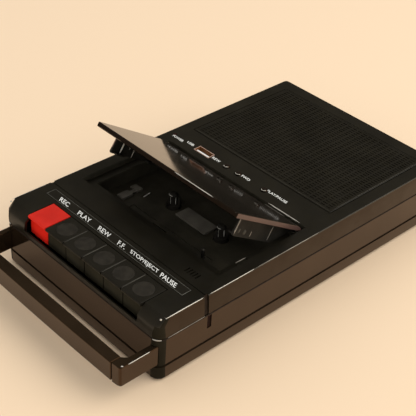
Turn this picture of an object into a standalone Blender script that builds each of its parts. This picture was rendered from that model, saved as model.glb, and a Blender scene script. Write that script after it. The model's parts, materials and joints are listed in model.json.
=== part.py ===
"""Portable cassette player and recorder, built as separate sub-parts.

Metres, +Z up, the keys and the handle at -Y, the loudspeaker at +Y.
All lengths below are in millimetres and pass through mm() once.
The rest state has the cassette door open and the handle partly drawn out.
"""
import math

import bmesh
import bpy
from mathutils import Matrix, Vector

# ---- driving dimensions, mm -------------------------------------------------
Y_SHIFT = -99.6        # moves the body so that the rest box is centred on the origin
HALF_W = 69.0           # half width of the case at the middle band
BACK_Y = 230.0          # back face
FRONT_Y = -6.2          # front face at the middle band
CASE_Z0 = 0.9           # underside of the case, above the feet
SPLIT_Z = 29.2          # joint between lower and upper case
DECK_Z = 42.4           # top face
WALL = 1.4              # case wall
GAP = 0.3               # clearance between neighbouring pieces

KEY_PITCH = 16.75
KEY_WIDTH = 16.1
KEY_X0 = -41.0          # centre of the record key
KEY_AXIS = (24.4, 34.0)  # y, z of the key shaft
KEY_NAMES = ("record", "play", "rewind", "fast_forward", "stop_eject", "pause")
BAY = (-49.6, 51.4, 15.6)  # left, right and rear edge of the key bay

WELL = (-59.9, 59.9, 43.6, 113.0)  # opening of the cassette well: x0, x1, y0, y1
WELL_FLOOR = 25.4
HINGE = (110.9, 38.6)   # y, z of the door hinge
DOOR_ANGLE = math.radians(32.5)
DOOR = (-59.2, 59.2, 43.9, 104.4)  # door when closed: x0, x1, y0, y1
DOOR_T = 3.0
HOLDER_X = 53.4         # outer face of the cassette guides

SPINDLE_X = 21.25
SPINDLE_Y = 83.5
BAND_Y = 121.0          # row of the small buttons and the USB socket
GRILLE = (-59.4, 59.4, 134.2, 220.8)
SPEAKER = (0.0, 177.5)

HANDLE_X = 67.25
HANDLE_Z = (11.7, 24.6)
HANDLE_Y = -30.8        # foremost line of the slightly bowed handle at rest
GRIP_X = 60.2           # seam between the grip and its end pieces

# ---- start clean ------------------------------------------------------------
for old in list(bpy.data.objects):
    bpy.data.objects.remove(old, do_unlink=True)


def mm(x, y, z):
    """Millimetres in the case frame to metres in the part frame."""
    return Vector((x * 0.001, (y + Y_SHIFT) * 0.001, z * 0.001))


def material(name, colour, metallic=0.0, roughness=0.5):
    mat = bpy.data.materials.new(name)
    mat.use_nodes = True
    shader = mat.node_tree.nodes["Principled BSDF"]
    shader.inputs["Base Color"].default_value = (*colour, 1.0)
    shader.inputs["Metallic"].default_value = metallic
    shader.inputs["Roughness"].default_value = roughness
    mat.diffuse_color = (*colour, 1.0)
    return mat


BLACK = (0.012, 0.011, 0.009)
DARK = (0.02, 0.02, 0.02)
STEEL = (0.55, 0.55, 0.54)


def own(name, colour, metallic=0.0, roughness=0.5):
    return material("mat_" + name, colour, metallic, roughness)


def finish(name, bm, mat, origin=(0.0, 0.0, 0.0)):
    """Turn a bmesh given in case millimetres into a named object."""
    centre = mm(*origin) if origin != (0.0, 0.0, 0.0) else Vector((0.0, 0.0, 0.0))
    for vert in bm.verts:
        vert.co = mm(*vert.co) - centre
    bmesh.ops.recalc_face_normals(bm, faces=bm.faces)
    mesh = bpy.data.meshes.new(name)
    bm.to_mesh(mesh)
    bm.free()
    obj = bpy.data.objects.new(name, mesh)
    obj.location = centre
    bpy.context.scene.collection.objects.link(obj)
    if mat is not None:
        mesh.materials.append(mat)
    return obj


# ---- solids -----------------------------------------------------------------
def add_box(bm, x0, x1, y0, y1, z0, z1):
    corners = [(x, y, z) for z in (z0, z1) for y in (y0, y1) for x in (x0, x1)]
    v = [bm.verts.new(c) for c in corners]
    for ids in ((0, 1, 3, 2), (4, 6, 7, 5), (0, 4, 5, 1), (2, 3, 7, 6), (0, 2, 6, 4), (1, 5, 7, 3)):
        bm.faces.new([v[i] for i in ids])


def add_stack(bm, rings, close=False):
    """Skin a list of rings with equal point counts; caps on both ends."""
    loops = [[bm.verts.new(p) for p in ring] for ring in rings]
    count = len(loops[0])
    pairs = list(zip(loops[:-1], loops[1:]))
    if close:
        pairs.append((loops[-1], loops[0]))
    for low, high in pairs:
        for i in range(count):
            j = (i + 1) % count
            bm.faces.new((low[i], low[j], high[j], high[i]))
    if not close:
        bm.faces.new(list(reversed(loops[0])))
        bm.faces.new(loops[-1])


def add_prism(bm, outline, axis, lo, hi):
    """Extrude a 2-D outline along X (y, z), Y (x, z) or Z (x, y)."""
    def place(p, t):
        if axis == "X":
            return (t, p[0], p[1])
        if axis == "Y":
            return (p[0], t, p[1])
        return (p[0], p[1], t)
    add_stack(bm, [[place(p, lo) for p in outline], [place(p, hi) for p in outline]])


def circle(cx, cy, radius, count=24, phase=0.0):
    points = []
    for i in range(count):
        angle = phase + 2.0 * math.pi * i / count
        points.append((cx + radius * math.cos(angle), cy + radius * math.sin(angle)))
    return points


def add_lathe(bm, cx, cy, profile, count=24, hole=False):
    """Revolve (radius, z) pairs about a vertical axis at cx, cy."""
    rings = []
    for radius, z in profile:
        rings.append([(x, y, z) for x, y in circle(cx, cy, radius, count)])
    add_stack(bm, rings, close=hole)


def add_cylinder(bm, axis, centre, radius, lo, hi, count=20):
    add_prism(bm, circle(centre[0], centre[1], radius, count), axis, lo, hi)


def rounded(x0, x1, y0, y1, r_front, r_back, steps=4):
    """Plan outline with separate front and back corner radii."""
    corners = (
        (x1 - r_front, y0 + r_front, r_front, -90.0),
        (x1 - r_back, y1 - r_back, r_back, 0.0),
        (x0 + r_back, y1 - r_back, r_back, 90.0),
        (x0 + r_front, y0 + r_front, r_front, 180.0),
    )
    points = []
    for cx, cy, radius, start in corners:
        for i in range(steps + 1):
            angle = math.radians(start + 90.0 * i / steps)
            points.append((cx + radius * math.cos(angle), cy + radius * math.sin(angle)))
    return points


def section(z, inset, y_front, y_back, half, r_front=5.6, r_back=4.0, steps=4):
    plan = rounded(-half + inset, half - inset, y_front + inset, y_back - inset,
                   max(r_front - inset, 0.6), max(r_back - inset, 0.6), steps)
    return [(x, y, z) for x, y in plan]


def solid(name, build, mat, origin=(0.0, 0.0, 0.0)):
    bm = bmesh.new()
    build(bm)
    return finish(name, bm, mat, origin)


def box(name, x0, x1, y0, y1, z0, z1, mat, origin=(0.0, 0.0, 0.0)):
    return solid(name, lambda bm: add_box(bm, x0, x1, y0, y1, z0, z1), mat, origin)


def cut(target, name, build, operation="DIFFERENCE"):
    """Boolean with a hidden cutter."""
    cutter = solid("cutter_" + name, build, None)
    cutter.hide_render = True
    cutter.display_type = "WIRE"
    mod = target.modifiers.new(name, "BOOLEAN")
    mod.operation = operation
    mod.solver = "EXACT"
    mod.object = cutter


def many(*boxes):
    def build(bm):
        for item in boxes:
            add_box(bm, *item)
    return build


# ---- lower case -------------------------------------------------------------
def lower_case():
    outer = [
        section(CASE_Z0, 1.2, FRONT_Y + 0.3, BACK_Y, HALF_W),
        section(CASE_Z0 + 0.5, 0.4, FRONT_Y + 0.3, BACK_Y, HALF_W),
        section(CASE_Z0 + 1.4, 0.0, FRONT_Y + 0.2, BACK_Y, HALF_W),
        section(9.7, 0.0, FRONT_Y, BACK_Y, HALF_W),
        section(9.9, 0.8, FRONT_Y, BACK_Y, HALF_W),
        section(11.3, 0.8, FRONT_Y, BACK_Y, HALF_W),
        section(11.5, 0.0, FRONT_Y, BACK_Y, HALF_W),
        section(SPLIT_Z - 0.6, 0.0, FRONT_Y + 0.3, BACK_Y, HALF_W),
        section(SPLIT_Z - 0.15, 0.4, FRONT_Y + 0.3, BACK_Y, HALF_W),
    ]
    inner = [
        section(SPLIT_Z - 0.15, WALL, FRONT_Y, BACK_Y, HALF_W),
        section(12.0, WALL, FRONT_Y, BACK_Y, HALF_W),
        section(CASE_Z0 + 1.8, WALL, FRONT_Y + 0.6, BACK_Y, HALF_W),
    ]
    mat = own("lower_case", (0.02, 0.014, 0.009), 0.0, 0.22)
    case = solid("lower_case", lambda bm: add_stack(bm, outer + inner), mat)
    lo, hi = HANDLE_Z
    cut(case, "handle_slots", many(
        (-HANDLE_X - GAP, -62.9, -9.0, 6.0, lo - GAP, hi + GAP),
        (62.9, HANDLE_X + GAP, -9.0, 6.0, lo - GAP, hi + GAP)))
    cut(case, "side_slots", many(
        (-70.0, -68.4, 28.6, 31.7, 19.6, 28.4),
        (68.4, 70.0, 28.6, 31.7, 19.6, 28.4)))
    cut(case, "battery_opening", many((-54.0, 54.0, 196.0, 232.0, 0.0, CASE_Z0 + 1.8),))
    cut(case, "jack_openings", lambda bm: [
        add_cylinder(bm, "X", (y, JACK_Z), 2.2, -71.0, -66.0, 16) for y in JACK_Y])

    def posts(bm):
        for p in SCREWS:
            add_cylinder(bm, "Z", p, 3.9, 2.6, 27.0, 16)
    cut(case, "screw_posts", posts, "UNION")

    def bores(bm):
        for p in SCREWS:
            add_lathe(bm, p[0], p[1], [(2.6, 0.0), (2.6, 3.6), (1.5, 4.6), (1.5, 26.0)], 16)
    cut(case, "screw_bores", bores)
    return case


SCREWS = ((-57.6, 12.0), (57.6, 12.0), (-60.6, 190.0), (60.6, 190.0))
FEET = ((-54.0, 30.0), (54.0, 30.0), (-52.0, 180.0), (52.0, 180.0))
JACK_Y = (84.0, 96.0, 110.0)
JACK_Z = 18.0
VOLUME = (-62.4, 123.6)


# ---- upper case -------------------------------------------------------------
def upper_ring(z, inset, lean, y_front, radius=5.4):
    """Section of the upper case; it leans inwards towards the deck."""
    return section(z, inset, y_front, BACK_Y - 0.1, HALF_W - lean, radius, min(radius, 4.0))


def upper_case():
    outer = [
        upper_ring(SPLIT_Z + 0.15, 0.5, 0.0, -6.0),
        upper_ring(SPLIT_Z + 0.5, 0.1, 0.0, -6.0),
        upper_ring(33.0, 0.0, 0.2, -5.9, 5.0),
        upper_ring(37.6, 0.0, 0.45, -5.0, 3.8),
        upper_ring(DECK_Z - 0.5, 0.0, 0.75, -0.45, 2.6),
        upper_ring(DECK_Z, 0.0, 1.2, 0.0, 2.2),
    ]
    inner = [
        upper_ring(DECK_Z - 1.8, 1.4, 0.8, 0.4),
        upper_ring(36.9, 1.4, 0.5, -5.0),
        upper_ring(SPLIT_Z + 0.15, 1.8, 0.0, -5.9),
    ]
    mat = own("upper_case", BLACK, 0.0, 0.32)
    bm = bmesh.new()
    add_stack(bm, outer)
    case = finish("upper_case", bm, mat)

    def cavity(bm):
        floor = [(x, y, SPLIT_Z - 1.0) for x, y, z in inner[-1]]
        add_stack(bm, [floor, inner[-1], inner[1], inner[0]])
    cut(case, "hollow", cavity)
    left, right, rear = BAY
    bay = [(-9.0, 32.3), (-5.0, 32.3), (-5.0, 28.0), (-1.0, 28.0), (-1.0, 36.0)]
    bay += [(rear, 36.0), (rear, 45.0), (-9.0, 45.0)]
    cut(case, "key_bay", lambda bm: add_prism(bm, bay, "X", left, right))
    cut(case, "well_opening", many((WELL[0], WELL[1], WELL[2], WELL[3], 36.0, 45.0),))
    cut(case, "strip_seat", many((-60.7, 60.0, 17.6, 25.1, DECK_Z - 0.7, 45.0),))
    cut(case, "deck_line", many((-70.0, 70.0, 27.4, 28.0, DECK_Z - 0.4, 45.0),))
    for side in (-1.0, 1.0):
        channel = [(side * 68.2, 29.0), (side * 72.0, 29.0), (side * 72.0, 45.0), (side * 66.9, 45.0)]
        cut(case, "side_channel", lambda bm, c=channel: add_prism(bm, c, "Y", 26.3, 29.4))
    cut(case, "grille_seat", many((
        GRILLE[0] - GAP, GRILLE[1] + GAP, GRILLE[2] - GAP, GRILLE[3] + GAP, DECK_Z - 0.9, 45.0),))
    cut(case, "sound_hole", lambda bm: add_cylinder(bm, "Z", SPEAKER, 35.0, 38.0, 45.0, 40))

    def band(bm):
        add_box(bm, USB_X - 7.0, USB_X + 7.0, BAND_Y - 3.2, BAND_Y + 3.2, 36.0, 45.0)
        for x in BUTTON_X:
            add_cylinder(bm, "Z", (x, BAND_Y - 0.2), 2.5, 36.0, 45.0, 16)
        for i in range(5):
            x = 44.6 + 2.1 * i
            add_box(bm, x, x + 0.9, 32.7, 36.9, 36.0, 45.0)
    cut(case, "band_openings", band)
    vy = VOLUME[1]
    cut(case, "volume_slot", many((-71.0, -60.0, vy - 4.6, vy + 4.6, 32.2, 36.4),))
    cut(case, "power_light_hole", lambda bm: add_cylinder(
        bm, "Z", (LIGHT_X, BAND_Y - 0.4), 1.4, 36.0, 45.0, 16))
    return case


USB_X = -35.2
BUTTON_X = (-14.6, -4.0, 18.3)
BUTTON_NAMES = ("rewind", "forward", "play_pause")
LIGHT_X = -62.6


# ---- keys -------------------------------------------------------------------
def key(index, name):
    centre = KEY_X0 + KEY_PITCH * index
    x0 = centre - KEY_WIDTH / 2.0
    x1 = centre + KEY_WIDTH / 2.0
    ay, az = KEY_AXIS
    red = name == "record"
    colour = (0.55, 0.018, 0.012) if red else (0.014, 0.013, 0.012)
    mat = own("key_" + name, colour, 0.0, 0.3)
    cap = [(-1.3, 29.7), (-1.0, 39.9), (-2.8, 40.5), (-3.2, 41.7), (-2.5, 42.5), (15.0, 42.5),
           (15.2, 42.3), (15.2, 40.9), (1.4, 40.9), (0.5, 40.2), (0.2, 29.7)]
    obj = solid("key_" + name, lambda bm: add_prism(bm, cap, "X", x0, x1), mat, (0.0, ay, az))

    def side_skirts(bm):
        for a, b in ((x0 + 0.2, x0 + 1.4), (x1 - 1.4, x1 - 0.2)):
            add_prism(bm, [(-0.6, 32.6), (13.0, 37.0), (14.2, 41.4), (-0.5, 41.2)], "X", a, b)

    def lever(bm):
        arm = [(4.0, 41.6), (4.0, 38.2), (12.0, 36.6), (16.0, 31.6), (ay + 1.5, 31.2)]
        arm += [(ay + 3.0, 33.0), (ay + 2.7, 35.6), (ay + 1.0, 37.0), (16.6, 37.4), (13.5, 39.4)]
        arm += [(13.5, 41.6)]
        add_prism(bm, arm, "X", centre - 2.2, centre + 2.2)

    cut(obj, "skirts_" + name, side_skirts, "UNION")
    cut(obj, "lever_" + name, lever, "UNION")
    cut(obj, "bore_" + name, lambda bm: add_cylinder(bm, "X", (ay, az), 1.35, x0 - 2.0, x1 + 2.0, 16))
    if not red:
        def dish(bm):
            add_lathe(bm, centre, 6.1, [(6.2, 42.15), (6.35, 43.2)], 24)
        cut(obj, "dish_" + name, dish)
    return obj


# ---- helpers for the door ---------------------------------------------------
def swing(point, angle=DOOR_ANGLE):
    """Turn a closed-door point (x, y, z) to the open rest position."""
    dy = point[1] - HINGE[0]
    dz = point[2] - HINGE[1]
    c, s = math.cos(angle), math.sin(angle)
    return (point[0], HINGE[0] + dy * c + dz * s, HINGE[1] - dy * s + dz * c)


def swung(name, build, mat):
    """Build in the closed position, then open it about the hinge."""
    bm = bmesh.new()
    build(bm)
    for vert in bm.verts:
        vert.co = Vector(swing(vert.co))
    return finish(name, bm, mat, (0.0, HINGE[0], HINGE[1]))


def swung_cut(target, name, build, operation="DIFFERENCE"):
    def turned(bm):
        build(bm)
        for vert in bm.verts:
            vert.co = Vector(swing(vert.co))
    cut(target, name, turned, operation)


def door():
    x0, x1, y0, y1 = DOOR
    top = DECK_Z
    low = top - DOOR_T
    outline = [(y0, low + 0.5), (y0, top - 0.5), (y0 + 0.5, top), (y1, top), (y1 + 2.2, top - 0.4)]
    outline += [(y1 + 3.9, top - 1.5), (y1 + 4.6, top - 2.7), (y1 + 3.3, top - 2.9)]
    outline += [(y1 + 2.0, top - 2.75), (y1, low), (y0 + 0.5, low)]
    mat = own("door_panel", (0.012, 0.01, 0.008), 0.0, 0.06)
    panel = swung("door_panel", lambda bm: add_prism(bm, outline, "X", x0, x1), mat)

    def guides(bm):
        for side in (-1.0, 1.0):
            a, b = sorted((side * HOLDER_X, side * (HOLDER_X - 1.6)))
            wing = [(y0 + 13.6, low - GAP), (y0 + 13.0, 28.2), (y0 + 13.6, 27.4), (y1 - 5.0, 27.4)]
            wing += [(y1 - 2.0, 30.0), (y1 + 1.0, 34.6), (y1 + 4.2, 36.6), (HINGE[0] + 1.4, 36.4)]
            wing += [(HINGE[0] + 2.3, 37.6), (HINGE[0] + 2.1, 39.2), (HINGE[0] + 0.9, 40.2)]
            wing += [(HINGE[0] - 0.6, 40.0), (HINGE[0] - 1.4, 38.9), (y1 + 2.4, 38.7), (y1, low - GAP)]
            add_prism(bm, wing, "X", a, b)
    holder_mat = own("cassette_holder", (0.03, 0.028, 0.025), 0.0, 0.4)
    zb = low - GAP

    def plate(bm):
        add_box(bm, -HOLDER_X + 0.8, HOLDER_X - 0.8, y0 + 17.0, y1 - 1.0, zb - 1.1, zb)
    holder = swung("cassette_holder", plate, holder_mat)
    swung_cut(holder, "guides", guides, "UNION")

    def ledges(bm):
        for side in (-1.0, 1.0):
            for ya, yb in ((y0 + 15.0, y0 + 22.0), (y1 - 16.0, y1 - 7.0)):
                a, b = sorted((side * (HOLDER_X - 0.6), side * (HOLDER_X - 5.0)))
                add_box(bm, a, b, ya, yb, 27.6, 28.6)
    swung_cut(holder, "ledges", ledges, "UNION")
    swung_cut(holder, "hinge_bore", lambda bm: add_cylinder(bm, "X", HINGE, 1.3, -56.0, 56.0, 16))
    rod_mat = own("hinge_rod", STEEL, 1.0, 0.3)
    solid("hinge_rod", lambda bm: add_cylinder(bm, "X", HINGE, 1.0, -59.1, 59.1, 16), rod_mat)


# ---- well and mechanism -----------------------------------------------------
TRAY_Y1 = 116.3
TRAY_TOP = 38.9
PIT = 54.2              # half width of the pit between the rests of the door


def well():
    x0, x1, y0 = WELL[:3]
    tray_mat = own("well_tray", (0.012, 0.012, 0.012), 0.0, 0.55)
    tray = box("well_tray", x0 + 0.4, x1 - 0.4, y0 + 0.4, TRAY_Y1,
               WELL_FLOOR - 1.6, TRAY_TOP, tray_mat)
    cut(tray, "tray_hollow", many(
        (x0 + 1.7, x1 - 1.7, y0 + 1.7, TRAY_Y1 - 1.3, WELL_FLOOR, 42.0),))

    def door_rest(bm):
        low = TRAY_TOP - 1.4
        front = [(x0 + 0.5, y0 + 0.5), (x1 - 0.5, y0 + 0.5), (x1 - 0.5, 104.0), (PIT, 104.0)]
        front += [(PIT, 50.4), (-PIT, 50.4), (-PIT, 104.0), (x0 + 0.5, 104.0)]
        add_prism(bm, front, "Z", low, TRAY_TOP)
    cut(tray, "door_rest", door_rest, "UNION")
    cut(tray, "latch_hole", many((55.0, 57.0, 61.6, 70.0, 36.0, 42.0),))

    def tray_holes(bm):
        for x in (-SPINDLE_X, SPINDLE_X):
            add_cylinder(bm, "Z", (x, SPINDLE_Y), 5.0, 20.0, 30.0, 20)
        add_cylinder(bm, "Z", CAPSTAN, 1.6, 20.0, 30.0, 16)
        add_box(bm, -20.5, 20.5, 46.6, 52.6, 20.0, 30.0)
    cut(tray, "tray_holes", tray_holes)
    cut(tray, "tray_slots", many(
        (-41.4, -39.2, 75.0, 81.6, WELL_FLOOR - 0.8, 30.0),
        (-38.0, 33.0, 45.5, 66.0, WELL_FLOOR - 0.8, 30.0)))
    cut(tray, "hinge_holes", lambda bm: add_cylinder(bm, "X", HINGE, 1.3, -62.0, 62.0, 16))
    cover_mat = own("leaf_plate", (0.10, 0.095, 0.088), 0.2, 0.35)
    box("leaf_plate", -13.0, 13.0, 77.8, 88.6, WELL_FLOOR + 0.2, WELL_FLOOR + 1.5, cover_mat)
    lever_mat = own("record_guard_lever", (0.08, 0.075, 0.07), 0.0, 0.4)
    plan = [(-50.5, 63.0), (-44.6, 63.0), (-44.6, 71.2), (-46.2, 71.2), (-46.2, 75.0), (-45.4, 75.0)]
    plan += [(-45.4, 79.6), (-52.2, 79.6), (-52.2, 75.0), (-48.4, 75.0), (-48.4, 71.2), (-50.5, 71.2)]
    solid("record_guard_lever", lambda bm: add_prism(
        bm, plan, "Z", WELL_FLOOR + 0.3, WELL_FLOOR + 1.8), lever_mat)


def spindle(side, name):
    """Hub with three splines; its drive flange turns under the tray."""
    cx = side * SPINDLE_X
    mat = own(name, (0.05, 0.048, 0.045), 0.0, 0.35)
    profile = [(9.5, 19.4), (9.5, 21.8), (4.4, 21.8), (4.4, 27.6), (3.0, 28.2)]
    profile += [(3.0, 34.0), (1.6, 35.6), (0.8, 35.6)]
    spin = solid(name, lambda bm: add_lathe(bm, cx, SPINDLE_Y, profile, 20),
                 mat, (cx, SPINDLE_Y, 20.0))

    def splines(bm):
        for k in range(3):
            turn = Matrix.Rotation(math.radians(120.0 * k + 30.0), 3, "Z")
            before = set(bm.verts)
            add_box(bm, 1.0, 4.5, -0.6, 0.6, 28.0, 33.6)
            for vert in set(bm.verts) - before:
                vert.co = turn @ vert.co + Vector((cx, SPINDLE_Y, 0.0))
    cut(spin, "splines_" + name, splines, "UNION")


CAPSTAN = (31.0, 59.7)
ROLLER = (31.0, 50.7)
BRIDGE_Z = WELL_FLOOR + 0.3


def head_bridge():
    z = BRIDGE_Z
    mat = own("head_bridge", STEEL, 0.9, 0.3)
    bridge = box("head_bridge", -27.0, 34.0, 46.4, 51.8, z, z + 1.0, mat)
    cut(bridge, "bridge_leg", many((-18.0, 18.0, 47.0, 48.2, 20.6, z + 0.5),), "UNION")
    cut(bridge, "roller_post", lambda bm: add_cylinder(
        bm, "Z", ROLLER, 1.1, z + 0.5, z + 9.6, 16), "UNION")
    head = own("record_play_head", (0.6, 0.58, 0.55), 1.0, 0.18)
    box("record_play_head", -6.2, 6.2, 47.0, 54.4, z + 1.2, z + 9.6, head)
    erase = own("erase_head", (0.03, 0.03, 0.03), 0.0, 0.3)
    box("erase_head", -21.0, -13.5, 47.0, 53.8, z + 1.2, z + 8.4, erase)
    rubber = own("pinch_roller", (0.02, 0.02, 0.02), 0.0, 0.7)
    profile = [(4.7, z + 1.3), (4.7, z + 8.2), (1.4, z + 8.2), (1.4, z + 1.3)]
    solid("pinch_roller", lambda bm: add_lathe(bm, ROLLER[0], ROLLER[1], profile, 24, True),
          rubber, (ROLLER[0], ROLLER[1], z + 4.0))


MOTOR = (-34.0, 64.0)
PULLEY_R = 3.6
WHEEL_R = 17.0


def drive():
    wheel = own("flywheel", STEEL, 1.0, 0.25)
    profile = [(3.0, 4.2), (WHEEL_R, 4.2), (WHEEL_R, 8.4), (3.0, 8.4), (1.1, 9.4), (1.1, 35.2), (0.6, 35.8)]
    solid("capstan_flywheel", lambda bm: add_lathe(bm, CAPSTAN[0], CAPSTAN[1], profile, 32),
          wheel, (CAPSTAN[0], CAPSTAN[1], 6.0))
    mx, my = MOTOR
    can = own("motor", STEEL, 0.9, 0.3)
    profile = [(10.5, 9.4), (12.0, 10.6), (12.0, 22.6), (11.2, 23.4), (1.5, 23.4), (1.5, 21.0)]
    profile += [(1.5, 12.0), (1.5, 9.4)]
    solid("motor", lambda bm: add_lathe(bm, mx, my, profile, 24, True), can)
    brass = own("motor_pulley", (0.6, 0.42, 0.16), 1.0, 0.3)
    profile = [(4.4, 4.2), (PULLEY_R, 5.0), (PULLEY_R, 7.6), (4.4, 8.4), (1.1, 8.6), (1.1, 22.8)]
    solid("motor_pulley", lambda bm: add_lathe(bm, mx, my, profile, 20), brass, (mx, my, 6.0))
    rubber = own("drive_belt", (0.02, 0.02, 0.02), 0.0, 0.7)

    def belt(bm):
        rings = []
        for extra, z in ((1.3, 5.5), (1.3, 7.1), (0.3, 7.1), (0.3, 5.5)):
            outline = belt_outline(MOTOR, PULLEY_R + extra, CAPSTAN, WHEEL_R + extra)
            rings.append([(x, y, z) for x, y in outline])
        add_stack(bm, rings, close=True)
    solid("drive_belt", belt, rubber)


def belt_outline(c1, r1, c2, r2, steps=14):
    """Open belt around two wheels, as one closed loop of points."""
    dx, dy = c2[0] - c1[0], c2[1] - c1[1]
    span = math.hypot(dx, dy)
    lead = math.atan2(dy, dx)
    half = math.acos((r1 - r2) / span)
    points = []
    for centre, radius, a0, a1 in (
            (c2, r2, lead - half, lead + half),
            (c1, r1, lead + half, lead + 2.0 * math.pi - half)):
        grow = radius / math.cos((a1 - a0) / steps / 2.0)
        points.append((centre[0] + radius * math.cos(a0), centre[1] + radius * math.sin(a0)))
        for i in range(steps):
            angle = a0 + (a1 - a0) * (i + 0.5) / steps
            points.append((centre[0] + grow * math.cos(angle), centre[1] + grow * math.sin(angle)))
        points.append((centre[0] + radius * math.cos(a1), centre[1] + radius * math.sin(a1)))
    return points


# ---- control strip, shaft and springs ---------------------------------------
def key_row():
    for index, name in enumerate(KEY_NAMES):
        key(index, name)
    ay, az = KEY_AXIS
    shaft = own("key_shaft", STEEL, 1.0, 0.3)
    solid("key_shaft", lambda bm: add_cylinder(bm, "X", (ay, az), 1.0, -52.0, 54.0, 16), shaft)
    comb = own("key_spring_comb", STEEL, 1.0, 0.35)
    fingers = [(-48.0, 50.0, 29.6, 32.2, 29.5, 30.0)]
    obj = solid("key_spring_comb", many(*fingers), comb)
    cut(obj, "comb_fingers", many(*[
        (KEY_X0 + KEY_PITCH * i - 1.5, KEY_X0 + KEY_PITCH * i + 1.5, 14.0, 30.4, 29.5, 30.0)
        for i in range(6)]), "UNION")
    strip = own("label_strip", (0.012, 0.012, 0.012), 0.0, 0.3)
    box("label_strip", -60.4, 59.7, 17.9, 24.8, DECK_Z - 0.6, DECK_Z + 0.1, strip)


# ---- band with socket and small buttons -------------------------------------
def control_band():
    green = (0.02, 0.12, 0.05)
    board = own("main_board", green, 0.0, 0.4)
    box("main_board", -56.0, 56.0, 92.0, 132.0, 12.0, 13.6, board)
    panel = own("panel_board", green, 0.0, 0.4)
    box("panel_board", -47.5, 28.0, 117.4, 131.0, 24.0, 25.6, panel)
    metal = own("usb_shell", (0.62, 0.6, 0.57), 1.0, 0.25)
    y = BAND_Y
    shell = box("usb_shell", USB_X - 6.6, USB_X + 6.6, y - 2.85, y + 2.85, 25.9, DECK_Z + 0.2, metal)
    cut(shell, "usb_hollow", many(
        (USB_X - 6.2, USB_X + 6.2, y - 2.45, y + 2.45, 27.4, 44.0),))
    tongue = own("usb_tongue", (0.8, 0.8, 0.78), 0.0, 0.4)
    box("usb_tongue", USB_X - 5.6, USB_X + 5.6, y - 2.1, y - 0.2, 27.6, DECK_Z - 0.9, tongue)
    for x, name in zip(BUTTON_X, BUTTON_NAMES):
        mat = own("button_" + name, (0.02, 0.018, 0.016), 0.0, 0.12)
        profile = [(1.0, 27.2), (1.0, 38.6), (2.9, 38.6), (2.9, 39.6), (2.2, 39.6)]
        profile += [(2.2, DECK_Z + 0.5), (1.7, DECK_Z + 0.9)]
        solid("button_" + name, lambda bm: add_lathe(bm, x, y - 0.2, profile, 20),
              mat, (x, y - 0.2, 38.0))
    lens = own("power_light", (0.25, 0.02, 0.02), 0.0, 0.15)
    profile = [(1.1, 36.4), (1.1, DECK_Z), (0.7, DECK_Z + 0.3)]
    solid("power_light", lambda bm: add_lathe(bm, LIGHT_X, y - 0.4, profile, 16), lens)
    mic = own("microphone", STEEL, 1.0, 0.35)
    solid("microphone", lambda bm: add_lathe(
        bm, 53.2, 35.3, [(4.8, 36.0), (4.8, 39.6), (4.2, 40.2)], 20), mic)


# ---- left side controls ------------------------------------------------------
def side_controls():
    vx, vy = VOLUME
    knob = own("volume_wheel", (0.02, 0.02, 0.02), 0.0, 0.45)
    solid("volume_wheel", lambda bm: add_lathe(
        bm, vx, vy, [(5.8, 32.6), (6.3, 33.0), (6.3, 35.5), (5.8, 35.9)], 32),
          knob, (vx, vy, 34.0))
    for y, name in zip(JACK_Y, ("microphone_jack", "earphone_jack", "power_inlet")):
        mat = own(name, (0.03, 0.03, 0.03), 0.0, 0.4)

        def body(bm):
            add_box(bm, -67.0, -55.0, y - 4.0, y + 4.0, JACK_Z - 3.8, JACK_Z + 4.0)
        obj = solid(name, body, mat)
        cut(obj, "collar_" + name, lambda bm: add_cylinder(
            bm, "X", (y, JACK_Z), 1.95, -68.8, -66.0, 20), "UNION")
        cut(obj, "bore_" + name, lambda bm: add_cylinder(
            bm, "X", (y, JACK_Z), 1.45, -70.0, -57.0, 20))


# ---- loudspeaker -------------------------------------------------------------
def loudspeaker():
    gx0, gx1, gy0, gy1 = GRILLE
    sx, sy = SPEAKER
    mat = own("speaker_grille", (0.012, 0.011, 0.01), 0.0, 0.4)
    grille = box("speaker_grille", gx0, gx1, gy0, gy1, DECK_Z - 0.8, DECK_Z + 0.4, mat)

    def slots(bm):
        for row in range(13):
            y = gy0 + 7.0 + row * 6.05
            for col in range(5):
                x = gx0 + 6.4 + col * 21.4
                add_box(bm, x, x + 19.4, y - 0.7, y + 0.7, 40.0, 44.0)
    cut(grille, "grille_slots", slots)
    frame_mat = own("speaker_frame", STEEL, 0.9, 0.35)
    profile = [(38.5, 40.3), (38.5, 38.7), (34.0, 38.0), (20.0, 24.4), (8.5, 24.4)]
    profile += [(8.5, 25.8), (19.4, 25.8), (33.4, 39.3), (35.0, 40.3)]
    solid("speaker_frame", lambda bm: add_lathe(bm, sx, sy, profile, 32, True), frame_mat)
    cone_mat = own("speaker_cone", (0.03, 0.03, 0.03), 0.0, 0.8)
    profile = [(7.0, 27.2), (8.6, 27.4), (31.6, 39.3), (32.6, 40.1), (31.2, 40.1)]
    profile += [(8.6, 29.0), (6.0, 30.6), (2.0, 31.4)]
    solid("speaker_cone", lambda bm: add_lathe(bm, sx, sy, profile, 32), cone_mat)
    magnet = own("speaker_magnet", (0.1, 0.1, 0.1), 0.6, 0.5)
    profile = [(15.0, 14.2), (16.0, 15.0), (16.0, 23.4), (15.0, 24.1)]
    solid("speaker_magnet", lambda bm: add_lathe(bm, sx, sy, profile, 24), magnet)


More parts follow.
